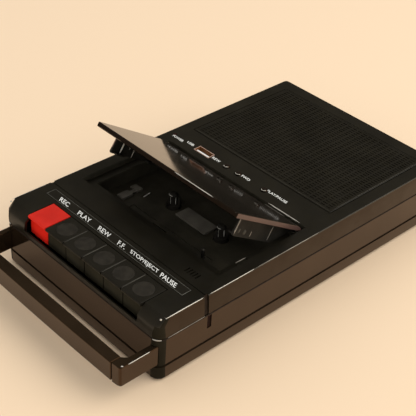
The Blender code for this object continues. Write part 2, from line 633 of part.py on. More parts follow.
# ---- battery bay --------------------------------------------------------------
def battery_bay():
    mat = own("battery_holder", (0.015, 0.015, 0.015), 0.0, 0.6)
    holder = box("battery_holder", -55.4, 55.4, 194.7, 228.0, 3.6, 20.6, mat)
    cut(holder, "battery_space", many((-53.9, 53.9, 196.2, 226.5, 2.0, 19.2),))
    lid_mat = own("battery_lid", (0.02, 0.015, 0.01), 0.0, 0.3)
    lid = box("battery_lid", -53.7, 53.7, 196.3, 229.6, CASE_Z0 + 0.1, CASE_Z0 + 1.5, lid_mat,
              (0.0, 212.0, 2.3))
    cut(lid, "lid_grips", many(*[
        (-12.0, 12.0, 218.0 + 2.4 * i, 219.2 + 2.4 * i, 0.0, CASE_Z0 + 0.6) for i in range(4)]))
    spring = own("battery_contact_left", STEEL, 1.0, 0.3)
    box("battery_contact_left", -53.5, -53.0, 198.0, 225.0, 5.0, 17.0, spring)
    spring = own("battery_contact_right", STEEL, 1.0, 0.3)
    box("battery_contact_right", 53.0, 53.5, 198.0, 225.0, 5.0, 17.0, spring)


# ---- feet and screws -----------------------------------------------------------
def feet_and_screws():
    places = ("front_left", "front_right", "rear_left", "rear_right")
    for (x, y), place in zip(FEET, places):
        mat = own("foot_" + place, (0.02, 0.02, 0.02), 0.0, 0.8)
        profile = [(5.4, 0.0), (6.0, 0.3), (6.0, 0.6)]
        solid("foot_" + place, lambda bm: add_lathe(bm, x, y, profile, 24), mat)
    for (x, y), place in zip(SCREWS, places):
        mat = own("screw_" + place, STEEL, 1.0, 0.3)
        profile = [(2.2, 2.2), (2.3, 2.6), (2.3, 3.4), (1.15, 4.6), (1.15, 24.0)]
        solid("screw_" + place, lambda bm: add_lathe(bm, x, y, profile, 16), mat)


# ---- handle --------------------------------------------------------------------
def handle():
    lo, hi = HANDLE_Z
    end = HANDLE_Y + 0.8
    mat = own("handle_frame", (0.03, 0.02, 0.012), 0.0, 0.2)

    def sides(bm):
        for s in (-1.0, 1.0):
            plan = [(GRIP_X + 0.3, end + 0.7), (GRIP_X + 0.9, end), (65.6, end + 0.3), (66.8, end + 0.8)]
            plan += [(HANDLE_X, end + 1.6), (HANDLE_X, 45.0), (63.5, 45.0), (63.5, end + 9.6)]
            plan += [(62.0, end + 7.6), (GRIP_X + 0.3, end + 6.3)]
            outline = [(s * px, py) for px, py in plan]
            add_prism(bm, outline, "Z", lo, hi)
    frame = solid("handle_frame", sides, mat)
    cut(frame, "handle_core", many((-62.9, 62.9, end + 2.0, end + 4.6, lo + 3.4, hi - 3.4),), "UNION")
    grip_mat = own("handle_grip", (0.02, 0.014, 0.009), 0.0, 0.25)

    def grip_body(bm):
        plan = []
        for i in range(17):
            t = -1.0 + i / 8.0
            plan.append((GRIP_X * t, HANDLE_Y + 0.6 * t * t))
        for i in range(17):
            t = 1.0 - i / 8.0
            plan.append((GRIP_X * t, HANDLE_Y + 7.7 - 0.3 * t * t))
        add_prism(bm, plan, "Z", lo, hi)
    grip = solid("handle_grip", grip_body, grip_mat)
    cut(grip, "grip_bore", many((-64.0, 64.0, end + 1.7, end + 4.9, lo + 3.1, hi - 3.1),))


lower_case()
upper_case()
key_row()
door()
well()
spindle(-1.0, "supply_spindle")
spindle(1.0, "takeup_spindle")
head_bridge()
drive()
control_band()
side_controls()
loudspeaker()
battery_bay()
feet_and_screws()
handle()
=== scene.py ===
import json
import math

import bmesh
import bpy
from mathutils import Matrix, Vector


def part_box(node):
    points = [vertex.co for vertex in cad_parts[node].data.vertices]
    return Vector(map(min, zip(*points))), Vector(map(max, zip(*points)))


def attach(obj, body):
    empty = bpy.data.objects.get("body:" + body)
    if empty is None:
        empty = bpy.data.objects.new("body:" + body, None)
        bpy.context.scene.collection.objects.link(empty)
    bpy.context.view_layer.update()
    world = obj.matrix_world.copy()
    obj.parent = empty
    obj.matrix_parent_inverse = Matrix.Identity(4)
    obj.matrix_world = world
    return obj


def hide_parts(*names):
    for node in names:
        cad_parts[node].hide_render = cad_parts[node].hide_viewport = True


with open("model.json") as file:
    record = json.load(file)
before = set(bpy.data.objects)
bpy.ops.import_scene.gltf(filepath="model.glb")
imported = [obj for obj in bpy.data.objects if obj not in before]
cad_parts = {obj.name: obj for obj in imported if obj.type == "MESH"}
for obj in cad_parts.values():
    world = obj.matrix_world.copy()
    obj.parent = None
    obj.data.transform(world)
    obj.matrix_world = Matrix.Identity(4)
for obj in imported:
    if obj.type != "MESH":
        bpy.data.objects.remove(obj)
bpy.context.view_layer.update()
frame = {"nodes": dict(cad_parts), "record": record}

CASE_LOW, CASE_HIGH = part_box("lower_case")
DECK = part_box("upper_case")[1].z  # the top face, with the keys, the door and the grille
DECK_DEPTH = 0.230                # from the front edge of the deck to the back of the case
Y0 = CASE_HIGH.y - DECK_DEPTH     # zero of the case's own y, at the front edge of the deck
MM = 0.001
SIDES = (("left", -1.0), ("right", 1.0))
BODY_OF = {node: body for body, nodes in frame["record"]["behaviour"]["bodies"].items() for node in nodes}


def at(x, y, z):
    """Case millimetres (z above the table) to the row frame."""
    return Vector((x * MM, y * MM + Y0, z * MM))


def crown(node):
    """Centre of a node's top face, in case millimetres."""
    low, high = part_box(node)
    return (low.x + high.x) / 2.0 / MM, ((low.y + high.y) / 2.0 - Y0) / MM, high.z / MM


# ---- materials --------------------------------------------------------------
class Nodes:
    """Small helper that builds a node tree."""

    def __init__(self, name):
        self.mat = bpy.data.materials.new(name)
        self.mat.use_nodes = True
        self.tree = self.mat.node_tree
        self.shader = self.tree.nodes["Principled BSDF"]

    def add(self, kind, **settings):
        node = self.tree.nodes.new(kind)
        for key, value in settings.items():
            setattr(node, key, value)
        return node

    def link(self, a, b):
        self.tree.links.new(a, b)


def noise(n, scale, detail, stretch):
    """Noise in the object's own coordinates."""
    coord = n.add("ShaderNodeTexCoord")
    mapping = n.add("ShaderNodeMapping")
    mapping.inputs["Scale"].default_value = stretch
    tex = n.add("ShaderNodeTexNoise")
    tex.inputs["Scale"].default_value = scale
    tex.inputs["Detail"].default_value = detail
    n.link(coord.outputs["Object"], mapping.inputs["Vector"])
    n.link(mapping.outputs["Vector"], tex.inputs["Vector"])
    return tex.outputs["Fac"]


def spread(n, source, low, high):
    """The middle of the noise's range, mapped to low..high."""
    rng = n.add("ShaderNodeMapRange")
    rng.inputs["From Min"].default_value = 0.35
    rng.inputs["From Max"].default_value = 0.65
    rng.inputs["To Min"].default_value = low
    rng.inputs["To Max"].default_value = high
    n.link(source, rng.inputs["Value"])
    return rng.outputs["Result"]


def surface(name, dark, light, rough, metallic=0.0, mottle=60.0, grain=1400.0, bump=0.12,
            tint=None, stretch=(1.0, 1.0, 1.0), ior=1.5):
    """Moulded plastic or metal: two-tone mottling, uneven sheen, fine moulded grain."""
    n = Nodes(name)
    mix = n.add("ShaderNodeMix", data_type="RGBA")
    mix.inputs[6].default_value = (*dark, 1.0)
    mix.inputs[7].default_value = (*light, 1.0)
    n.link(spread(n, noise(n, mottle, 4.0, stretch), 0.0, 1.0), mix.inputs[0])
    n.link(mix.outputs[2], n.shader.inputs["Base Color"])
    wear = noise(n, mottle * 2.7, 5.0, stretch)
    n.link(spread(n, wear, *rough), n.shader.inputs["Roughness"])
    bumper = n.add("ShaderNodeBump")
    bumper.inputs["Strength"].default_value = bump
    bumper.inputs["Distance"].default_value = 0.03 * MM
    n.link(noise(n, grain, 2.0, stretch), bumper.inputs["Height"])
    n.link(bumper.outputs["Normal"], n.shader.inputs["Normal"])
    n.shader.inputs["Metallic"].default_value = metallic
    n.shader.inputs["IOR"].default_value = ior
    if tint:
        n.shader.inputs["Specular Tint"].default_value = (*tint, 1.0)
    return n.mat


# Colours are linear, the darkest and lightest tone of each mottle.
WARM_REFLECTION_TINT = (1.0, 0.50, 0.22)    # a warm brown tint on the sheen of the dark plastics: a painted brown reflection
GLOSS_CASE = surface("glossy_case_plastic", (0.010, 0.007, 0.004), (0.018, 0.012, 0.007), (0.07, 0.11),
                     mottle=30.0, grain=900.0, bump=0.03, tint=WARM_REFLECTION_TINT)
SATIN_DECK = surface("satin_deck_plastic", (0.0082, 0.0068, 0.0036), (0.0125, 0.0105, 0.0060), (0.34, 0.46),
                     mottle=45.0, grain=2600.0, bump=0.22)
# glossier than the deck and about four times lighter; the lighter colour is a painted highlight along the deck's
# outer rim
RIM_PAINTED_HIGHLIGHT = surface("rim_painted_highlight", (0.030, 0.027, 0.021), (0.045, 0.040, 0.032), (0.14, 0.22),
                        mottle=45.0, grain=900.0, bump=0.03)
KEY_BLACK = surface("black_key_plastic", (0.0085, 0.0072, 0.0042), (0.013, 0.011, 0.0068), (0.36, 0.46),
                    mottle=70.0, grain=2400.0)
KEY_RED = surface("red_key_plastic", (0.53, 0.010, 0.003), (0.63, 0.015, 0.005), (0.36, 0.46),
                  mottle=70.0, grain=2400.0, bump=0.1, ior=1.3)
# the red key's front face, a brighter red than its top: painted light that lifts the shade on the front
RED_FRONT_PAINTED_LIGHTER = surface("red_key_front_painted_lighter", (0.84, 0.018, 0.008), (0.92, 0.024, 0.012), (0.4, 0.5),
                    mottle=70.0, grain=2400.0, bump=0.1, ior=1.3)
PAD_GREY = surface("worn_key_pad", (0.016, 0.013, 0.0085), (0.027, 0.022, 0.0145), (0.5, 0.62),
                   mottle=240.0, grain=3000.0, bump=0.3)
DOOR_GLOSS = surface("mirror_black_door", (0.006, 0.005, 0.004), (0.009, 0.007, 0.006), (0.07, 0.11),
                     mottle=20.0, grain=400.0, bump=0.01, tint=WARM_REFLECTION_TINT)
# the well's black plastic, painted about three times lighter than the case to lift the shade inside the well
WELL_PAINTED_LIGHTER = surface("well_plastic_painted_lighter", (0.026, 0.022, 0.0135), (0.040, 0.034, 0.021), (0.5, 0.65),
                     mottle=80.0, grain=2200.0, bump=0.3)
GUIDE_GREY = surface("dark_grey_guide_plastic", (0.016, 0.014, 0.011), (0.026, 0.023, 0.018), (0.5, 0.6),
                     mottle=90.0, grain=2000.0, bump=0.15, ior=1.3)
PLATE_GREY = surface("grey_leaf_plate", (0.095, 0.085, 0.068), (0.14, 0.125, 0.10), (0.4, 0.55),
                     mottle=120.0, grain=1800.0, bump=0.15)
# light beads along edges and ribs: painted glints
GLINT = surface("painted_glint_edge", (0.20, 0.18, 0.15), (0.46, 0.42, 0.36), (0.22, 0.32), metallic=0.3,
                mottle=90.0, grain=1200.0, bump=0.05)
# light grey: faint painted glints in the key gaps and along the grille frame; the holder's two small tabs are also
# in it
FAINT = surface("faint_painted_glint_and_tab_grey", (0.040, 0.036, 0.026), (0.075, 0.068, 0.050), (0.35, 0.45),
                mottle=90.0, grain=1500.0, bump=0.05)
PRINT_WHITE = surface("white_print", (0.72, 0.72, 0.69), (0.84, 0.84, 0.80), (0.5, 0.6),
                      mottle=300.0, grain=3000.0, bump=0.1)
PRINT_GREY = surface("grey_print_line", (0.060, 0.057, 0.045), (0.105, 0.10, 0.082), (0.4, 0.5),
                     mottle=200.0, grain=3000.0, bump=0.1)
STEEL = surface("brushed_steel", (0.42, 0.41, 0.39), (0.56, 0.55, 0.53), (0.22, 0.36), metallic=1.0,
                mottle=160.0, grain=900.0, bump=0.15, stretch=(1.0, 12.0, 12.0))
NICKEL = surface("warm_nickel_plate", (0.62, 0.55, 0.50), (0.74, 0.68, 0.63), (0.16, 0.26), metallic=1.0,
                 mottle=160.0, grain=1500.0, bump=0.08)
HEAD_METAL = surface("polished_head_metal", (0.60, 0.58, 0.55), (0.72, 0.70, 0.67), (0.10, 0.2), metallic=1.0,
                     mottle=180.0, grain=1500.0, bump=0.05)
BRASS = surface("turned_brass", (0.55, 0.38, 0.14), (0.66, 0.48, 0.2), (0.2, 0.32), metallic=1.0)
TONGUE = surface("white_socket_tongue", (0.74, 0.74, 0.72), (0.84, 0.84, 0.82), (0.35, 0.45), grain=2500.0)
RUBBER = surface("matt_rubber", (0.012, 0.012, 0.012), (0.024, 0.023, 0.022), (0.7, 0.85),
                 mottle=140.0, grain=1800.0, bump=0.35)
BOARD = surface("green_circuit_board", (0.010, 0.050, 0.020), (0.016, 0.075, 0.030), (0.35, 0.5), mottle=160.0)
LENS = surface("dark_red_lens", (0.020, 0.004, 0.003), (0.032, 0.006, 0.004), (0.1, 0.2), mottle=200.0)
SLOT_DARK = surface("shaded_slot", (0.010, 0.004, 0.003), (0.020, 0.006, 0.004), (0.6, 0.8),
                    mottle=200.0, grain=2000.0, bump=0.2, ior=1.2)
# dark brown in the groove between the case halves and in the flank channels: painted shade with a painted brown
# reflection
CHANNEL_PAINTED_SHADE = surface("channel_painted_brown_shade", (0.020, 0.013, 0.009), (0.030, 0.020, 0.014), (0.6, 0.8),
                        mottle=200.0, grain=2000.0, bump=0.2, ior=1.2)
# with almost no sheen, so the front corners read dark: painted shade
CORNER_PAINTED_SHADE = surface("corner_painted_shade", (0.012, 0.010, 0.006), (0.018, 0.015, 0.009), (0.30, 0.42),
                      mottle=45.0, grain=2600.0, ior=1.13)
SATIN_SIDE = surface("satin_flank", (0.009, 0.0075, 0.005), (0.014, 0.012, 0.008), (0.28, 0.38),
                     mottle=45.0, grain=2600.0, bump=0.15, ior=1.40, tint=WARM_REFLECTION_TINT)
# the short walls of the well opening, tray and skirt, painted lighter than the plastic to lift the shade on them
WALL_PAINTED_LIGHTER = surface("well_wall", (0.030, 0.026, 0.016), (0.048, 0.042, 0.027), (0.5, 0.65),
                    mottle=80.0, grain=2200.0, bump=0.2)
# the fronts of the black keys, lighter than the keys' own plastic: painted light that lifts the shade on the fronts
KEY_FRONT_PAINTED_LIGHTER = surface("key_front_painted_lighter", (0.023, 0.020, 0.010), (0.033, 0.029, 0.016), (0.45, 0.6),
                    mottle=70.0, grain=2400.0, bump=0.15)
# pinkish brown on the side faces of the door: a painted warm reflection
DOOR_FLANK_PAINTED_REFLECTION = surface("door_flank_painted_reflection", (0.068, 0.036, 0.029), (0.100, 0.053, 0.043), (0.3, 0.4),
                     mottle=45.0, grain=1200.0, bump=0.05)
# the socket's metal rim in pink and its inside in warm brown: painted reflections
PORT_RIM_PAINTED_REFLECTION = surface("port_rim_painted_reflection", (0.50, 0.33, 0.26), (0.60, 0.42, 0.34), (0.2, 0.3), metallic=0.2,
                   mottle=200.0, grain=1500.0, bump=0.05)
PORT_INSIDE_PAINTED_REFLECTION = surface("port_inside_painted_reflection", (0.15, 0.055, 0.015), (0.23, 0.09, 0.028), (0.4, 0.55),
                      mottle=300.0, grain=1500.0, bump=0.1)
# near white beads along edges: bright painted glints
SHINE = surface("bright_painted_glint", (0.72, 0.69, 0.62), (0.86, 0.83, 0.76), (0.24, 0.34), metallic=0.5,
                grain=1500.0, bump=0.05)
# pinkish beads on the door and the holder: warm painted glints
WARM_SHINE = surface("warm_painted_glint", (0.52, 0.34, 0.30), (0.64, 0.44, 0.39), (0.3, 0.4), metallic=0.6,
                     grain=1500.0, bump=0.05)
DARK_STEEL = surface("blackened_steel", (0.05, 0.047, 0.042), (0.09, 0.085, 0.075), (0.25, 0.4), metallic=0.8,
                     mottle=160.0, grain=1500.0, bump=0.08)
CONE = surface("pressed_paper_cone", (0.015, 0.014, 0.013), (0.030, 0.028, 0.026), (0.75, 0.9),
               mottle=500.0, grain=1500.0, bump=0.4)


# ---- mesh helpers -----------------------------------------------------------
def make(name, bm, mat, body, sharp=38.0, stands_for=()):
    """Turns a bmesh into a piece that rides on a body; edges steeper than sharp degrees stay crisp."""
    for face in bm.faces:
        face.smooth = True
    for edge in bm.edges:
        if len(edge.link_faces) == 2 and edge.calc_face_angle(0.0) > math.radians(sharp):
            edge.smooth = False
    mesh = bpy.data.meshes.new(name)
    bm.to_mesh(mesh)
    bm.free()
    mesh.materials.append(mat)
    obj = bpy.data.objects.new(name, mesh)
    bpy.context.scene.collection.objects.link(obj)
    obj.modifiers.new("even_normals", "WEIGHTED_NORMAL").keep_sharp = True
    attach(obj, body)
    if stands_for:
        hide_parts(*stands_for)
    return obj


def skin(node, mat, width=0.0, segments=2, keep=None, bevel_above=30.0, trims=()):
    """A finished copy of a CAD node: flat faces merged, chosen edges rounded, some faces in other finishes."""
    bm = bmesh.new()
    bm.from_mesh(frame["nodes"][node].data)
    bmesh.ops.remove_doubles(bm, verts=bm.verts, dist=0.002 * MM)
    bmesh.ops.dissolve_limit(bm, angle_limit=math.radians(0.5), verts=bm.verts, edges=bm.edges)
    if width:
        edges = [edge for edge in bm.edges
                 if len(edge.link_faces) == 2 and edge.calc_face_angle(0.0) >= math.radians(bevel_above)
                 and (keep is None or keep(edge))]
        bmesh.ops.bevel(bm, geom=edges, offset=width * MM, offset_type="OFFSET", segments=segments,
                        profile=0.5, affect="EDGES", clamp_overlap=True)
    bm.normal_update()
    for face in bm.faces:
        face.material_index = 0
        for i, (test, _) in enumerate(trims):
            if test(face):
                face.material_index = i + 1
                break
    obj = make(node + "_finished", bm, mat, BODY_OF[node], stands_for=(node,))
    for _, other in trims:
        obj.data.materials.append(other)


def tube(name, points, radius, mat, body, sides=6):
    """Thin rounded bead, narrower at both ends, along points in the row frame."""
    bm = bmesh.new()
    rings = []
    last = len(points) - 1
    for i, p in enumerate(points):
        ahead = (points[min(i + 1, last)] - points[max(i - 1, 0)]).normalized()
        side = ahead.cross(Vector((0.0, 0.0, 1.0)))
        if side.length < 0.1:
            side = ahead.cross(Vector((0.0, 1.0, 0.0)))
        side.normalize()
        lift = side.cross(ahead)
        r = radius * MM * (0.45 if i in (0, last) else 1.0)
        rings.append([bm.verts.new(p + r * (math.cos(a) * side + math.sin(a) * lift))
                      for a in (2 * math.pi * k / sides for k in range(sides))])
    for a, b in zip(rings[:-1], rings[1:]):
        for k in range(sides):
            j = (k + 1) % sides
            bm.faces.new((a[k], a[j], b[j], b[k]))
    bm.faces.new(rings[0])
    bm.faces.new(rings[-1])
    bmesh.ops.recalc_face_normals(bm, faces=bm.faces)
    make(name, bm, mat, body, sharp=80.0)


def bead(name, start, end, radius, mat, body, steps=6, place=at):
    """A straight tube between two points in case millimetres."""
    a, b = place(*start), place(*end)
    tube(name, [a.lerp(b, i / steps) for i in range(steps + 1)], radius, mat, body)


def arc(cx, cy, radius, z, start, step, count):
    """Points on a level arc; start and step are in degrees."""
    turns = (math.radians(step * k + start) for k in range(count))
    return [at(cx + radius * math.cos(a), cy + radius * math.sin(a), z) for a in turns]


def line_frame(name, x0, x1, y0, y1, width, z0, z1, mat, body):
    """Flat rectangular frame with a narrower top, like a printed or moulded line."""
    bm = bmesh.new()
    rims = []
    for inset, z in ((0.0, z0), (width * 0.25, z1), (width * 0.75, z1), (width, z0)):
        corners = ((x0 + inset, y0 + inset), (x1 - inset, y0 + inset),
                   (x1 - inset, y1 - inset), (x0 + inset, y1 - inset))
        rims.append([bm.verts.new(at(x, y, z)) for x, y in corners])
    for a, b in zip(rims, rims[1:] + rims[:1]):
        for i in range(4):
            j = (i + 1) % 4
            bm.faces.new((a[i], a[j], b[j], b[i]))
    bmesh.ops.recalc_face_normals(bm, faces=bm.faces)
    make(name, bm, mat, body)


def words(name, text, x0, x1, y0, y1, z, shear):
    """Generic control word as thin raised print that fills the given box."""
    curve = bpy.data.curves.new(name, "FONT")
    curve.body = text
    curve.shear = shear
    curve.extrude = 0.02
    curve.offset = 0.01           # slightly bold
    temp = bpy.data.objects.new(name + "_curve", curve)
    bpy.context.scene.collection.objects.link(temp)
    bpy.context.view_layer.update()
    mesh = bpy.data.meshes.new_from_object(temp.evaluated_get(bpy.context.evaluated_depsgraph_get()))
    bpy.data.objects.remove(temp)
    bm = bmesh.new()
    bm.from_mesh(mesh)
    bmesh.ops.remove_doubles(bm, verts=bm.verts, dist=1e-5)
    lows, highs = ([pick(v.co[k] for v in bm.verts) for k in range(3)] for pick in (min, max))
    for v in bm.verts:
        u, w, h = ((v.co[k] - lows[k]) / (highs[k] - lows[k]) for k in range(3))
        v.co = at(x0 + (x1 - x0) * u, y0 + (y1 - y0) * w, z + 0.06 * h)
    make(name, bm, PRINT_WHITE, "case")


def lathe(bm, cx, cy, profile, count):
    """Closed turned shape about an upright axis, from a profile of (radius, z)."""
    rings = []
    for radius, z in profile:
        turns = (2 * math.pi * i / count for i in range(count))
        rings.append([bm.verts.new(at(cx + radius * math.cos(a), cy + radius * math.sin(a), z)) for a in turns])
    for a, b in zip(rings[:-1], rings[1:]):
        for i in range(count):
            j = (i + 1) % count
            bm.faces.new((a[i], a[j], b[j], b[i]))
    bm.faces.new(list(reversed(rings[0])))
    bm.faces.new(rings[-1])
    bmesh.ops.recalc_face_normals(bm, faces=bm.faces)


# ---- case -------------------------------------------------------------------
FLANK_X = 0.0655                  # beyond this, a face belongs to the outer side walls


def side_slot(face):
    """The floor of the short upright slot in each flank."""
    c = face.calc_center_median()
    return abs(face.normal.x) > 0.9 and 0.0675 < abs(c.x) < 0.0687 and abs(c.y - at(0, 30.15, 0).y) < 0.002


def front_corner(face):
    """The rounded upright corners at the front, finished with almost no sheen as painted shade."""
    n = face.normal
    return abs(n.z) < 0.5 and n.y < -0.12 and abs(n.x) > 0.12 and face.calc_center_median().y < at(0, 1.0, 0).y


def joint_groove(face):
    """The chamfers that make the thin groove between the two halves of the case, painted dark brown as shade."""
    z = face.calc_center_median().z / MM
    return 28.2 < z < 29.7 and abs(face.normal.z) > 0.1 and face.normal.to_2d().length > 0.2


def rim(face):
    """The narrow slope between the deck and the outer walls, painted lighter as a highlight."""
    c = face.calc_center_median()
    n = face.normal
    return c.z > DECK - 0.0007 and 0.3 < n.z < 0.95 and abs(n.x) > 0.25 and abs(c.x) > FLANK_X


def flank_channel(face):
    """The floor of the shallow upright channel in each flank, painted dark brown as shade."""
    c = face.calc_center_median()
    return abs(face.normal.x) > 0.7 and abs(c.y - at(0, 27.85, 0).y) < 0.001 and FLANK_X < abs(c.x) < 0.0685


def flank(face):
    return abs(face.normal.x) > 0.7 and abs(face.calc_center_median().x) > FLANK_X


def well_wall(face):
    """The short walls of the well opening, painted lighter to lift their shade."""
    c = face.calc_center_median()
    return abs(face.normal.z) < 0.3 and abs(c.x) < 0.0605 and at(0, 42.0, 0).y < c.y < at(0, 115.0, 0).y


def ledge(face):
    """The level ledge round the well, on which the closed door rests."""
    return face.normal.z > 0.9 and face.calc_center_median().z > 0.0365


def upright(face):
    return abs(face.normal.z) < 0.3


skin("lower_case", GLOSS_CASE,
     trims=((side_slot, SLOT_DARK), (joint_groove, CHANNEL_PAINTED_SHADE), (front_corner, CORNER_PAINTED_SHADE)))
skin("upper_case", SATIN_DECK,
     trims=((rim, RIM_PAINTED_HIGHLIGHT), (joint_groove, CHANNEL_PAINTED_SHADE), (flank_channel, CHANNEL_PAINTED_SHADE),
            (front_corner, CORNER_PAINTED_SHADE), (flank, SATIN_SIDE), (well_wall, WALL_PAINTED_LIGHTER)))
skin("label_strip", KEY_BLACK, 0.15)
# The tray and its upright walls are painted lighter to lift the shade in the well; its ledge keeps the deck's
# darker finish.
skin("well_tray", WELL_PAINTED_LIGHTER, trims=((ledge, SATIN_DECK), (upright, WALL_PAINTED_LIGHTER)))
skin("battery_lid", GLOSS_CASE, 0.2)
skin("volume_wheel", KEY_BLACK)

# ---- keys -------------------------------------------------------------------
KEYS = ("record", "play", "rewind", "fast_forward", "stop_eject", "pause")
PAD_Y = 6.1                       # centre of the round finger pad on a cap
PAD_RADIUS = 6.1


def key_front(face):
    return face.normal.y < -0.8


def finger_pad(key):
    """Round worn disc with fine turned rings, slightly dished towards its middle."""
    cx, _, top = crown("key_" + key)
    profile = [(PAD_RADIUS, top - 0.33), (PAD_RADIUS, top + 0.02), (PAD_RADIUS - 0.15, top + 0.10)]
    for i in range(14):
        r = PAD_RADIUS - 0.3 - 0.4 * i
        profile.append((r, top + (0.04 if i % 2 else 0.10) - 0.02 * (1.0 - r / 6.0)))
    bm = bmesh.new()
    lathe(bm, cx, PAD_Y, profile, 48)
    make("pad_" + key, bm, PAD_GREY, "key_" + key)


for key in KEYS:
    low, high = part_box("key_" + key)

    def outer(edge, low=low, high=high):
        """The visible edges of the cap: its two sides, above the ledge."""
        mid = (edge.verts[0].co + edge.verts[1].co) / 2.0
        on_side = all(min(abs(v.co.x - low.x), abs(v.co.x - high.x)) < 2e-5 for v in edge.verts)
        return on_side and mid.y < high.y - 0.0115 and (mid.z > high.z - 0.0012 or mid.y < low.y + 0.0009)

    if key == "record":
        skin("key_" + key, KEY_RED, 0.4, 3, outer, trims=((key_front, RED_FRONT_PAINTED_LIGHTER),))
    else:
        skin("key_" + key, KEY_BLACK, 0.4, 3, outer, trims=((key_front, KEY_FRONT_PAINTED_LIGHTER),))
        finger_pad(key)

# ---- door -------------------------------------------------------------------
hinge_low, hinge_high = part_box("hinge_rod")
HINGE_Y = ((hinge_low.y + hinge_high.y) / 2.0 - Y0) / MM
HINGE_Z = (hinge_low.z + hinge_high.z) / 2.0 / MM
OPEN = math.radians(32.5)         # the door's angle at rest


def on_door(x, y, z):
    """A point given for the closed door, moved to the open door."""
    dy, dz = y - HINGE_Y, z - HINGE_Z
    return at(x, HINGE_Y + dy * math.cos(OPEN) + dz * math.sin(OPEN),
              HINGE_Z - dy * math.sin(OPEN) + dz * math.cos(OPEN))


# side faces of the door, which carry the painted warm reflection
def door_side(face):
    return abs(face.normal.x) > 0.8


skin("door_panel", DOOR_GLOSS, 0.4, 3, bevel_above=50.0, trims=((door_side, DOOR_FLANK_PAINTED_REFLECTION),))
skin("cassette_holder", GUIDE_GREY)

door_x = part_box("door_panel")[1].x / MM
lip_y, lip_z = 44.3, DECK / MM - 0.48   # the front edge of the panel, where beads paint a glint
for name, x0, x1, radius, mat in (("left", -door_x + 0.6, 4.0, 0.22, GLINT),
                                  ("bright", 5.0, 43.0, 0.4, SHINE),
                                  ("right", 43.5, door_x - 1.2, 0.25, GLINT)):
    bead("door_lip_" + name, (x0, lip_y, lip_z), (x1, lip_y, lip_z), radius, mat,
         "door", place=on_door)
# a painted glint at the front right corner of the door, and warm painted glints along its two side edges
bead("door_corner", (door_x - 2.4, lip_y, lip_z - 0.1), (door_x - 0.6, lip_y + 0.4, lip_z - 0.1), 0.44, SHINE,
     "door", place=on_door)
for side_name, s in SIDES:
    x = s * (door_x - 0.35)
    bead("door_flank_painted_reflection_" + side_name, (x, 46.0, lip_z - 0.1), (x, 92.0, lip_z - 0.1), 0.3, WARM_SHINE,
         "door", steps=10, place=on_door)

# Upright painted glints on the ribs of the cassette holder, and its two small light grey tabs: x, y, lower and
# upper z, radius.
holder_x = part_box("cassette_holder")[1].x / MM
for name, x, y, z0, z1, radius, mat in (
        ("leaf_left_1", 2.8 - holder_x, 63.0, 29.0, 38.2, 0.55, SHINE),
        ("leaf_left_2", 2.8 - holder_x, 69.5, 32.5, 37.6, 0.4, GLINT),
        ("leaf_left_3", 2.8 - holder_x, 74.0, 27.8, 37.6, 0.42, GLINT),
        ("wing_left_front", 0.4 - holder_x, 57.3, 28.6, 38.6, 0.35, WARM_SHINE),
        ("wing_right_front", holder_x - 0.2, 57.3, 27.8, 38.8, 0.4, GLINT),
        ("wing_right_rear", holder_x - 0.1, 89.5, 28.4, 37.8, 0.32, GLINT),
        ("wing_tab_1", holder_x - 0.5, 60.6, 29.2, 32.6, 0.9, FAINT),
        ("wing_tab_2", holder_x - 0.5, 65.6, 28.8, 32.4, 1.3, FAINT),
        ("wing_rib", holder_x - 0.2, 72.0, 28.2, 32.4, 0.35, GLINT)):
    bead(name, (x, y, z0), (x, y, z1), radius, mat, "door", steps=4, place=on_door)

# ---- mechanism --------------------------------------------------------------
for node, mat in (("leaf_plate", PLATE_GREY), ("record_guard_lever", PLATE_GREY),
                  ("erase_head", KEY_BLACK), ("record_play_head", HEAD_METAL)):
    skin(node, mat, 0.3)
for node, mat in (("head_bridge", STEEL), ("pinch_roller", RUBBER),
                  ("supply_spindle", GUIDE_GREY), ("takeup_spindle", GUIDE_GREY),
                  ("capstan_flywheel", DARK_STEEL), ("motor", STEEL), ("motor_pulley", BRASS),
                  ("drive_belt", RUBBER), ("key_shaft", STEEL), ("key_spring_comb", STEEL),
                  ("hinge_rod", STEEL), ("main_board", BOARD), ("panel_board", BOARD),
                  ("microphone", STEEL), ("microphone_jack", KEY_BLACK), ("earphone_jack", KEY_BLACK),
                  ("power_inlet", KEY_BLACK), ("speaker_frame", STEEL), ("speaker_cone", CONE),
                  ("speaker_magnet", RUBBER), ("battery_holder", WELL_PAINTED_LIGHTER),
                  ("battery_contact_left", NICKEL), ("battery_contact_right", NICKEL),
                  ("usb_tongue", TONGUE), ("power_light", LENS)):
    skin(node, mat)

port_low, port_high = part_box("usb_shell")
port_middle = (port_low + port_high) / 2.0


def port_inside(face):
    """Faces of the socket that look towards its middle, painted warm brown as a reflection."""
    return face.normal.z < 0.5 and (face.calc_center_median() - port_middle).xy.dot(face.normal.xy) < 0.0


skin("usb_shell", PORT_RIM_PAINTED_REFLECTION, trims=((port_inside, PORT_INSIDE_PAINTED_REFLECTION),))
for place in ("front_left", "front_right", "rear_left", "rear_right"):
    skin("foot_" + place, RUBBER)
    skin("screw_" + place, NICKEL)


# ---- handle -----------------------------------------------------------------
def outer_corner(edge):
    """The front corners of the frame, where the arms meet the grip."""
    return (min(v.co.y for v in edge.verts) < CASE_LOW.y + 0.003
            and min(abs(v.co.x) for v in edge.verts) > 0.0622)


skin("handle_frame", GLOSS_CASE, 0.5, 3, outer_corner)
skin("handle_grip", GLOSS_CASE, 0.6, 3, bevel_above=60.0)

frame_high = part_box("handle_frame")[1]
arm_x, arm_z = frame_high.x / MM, frame_high.z / MM - 0.3
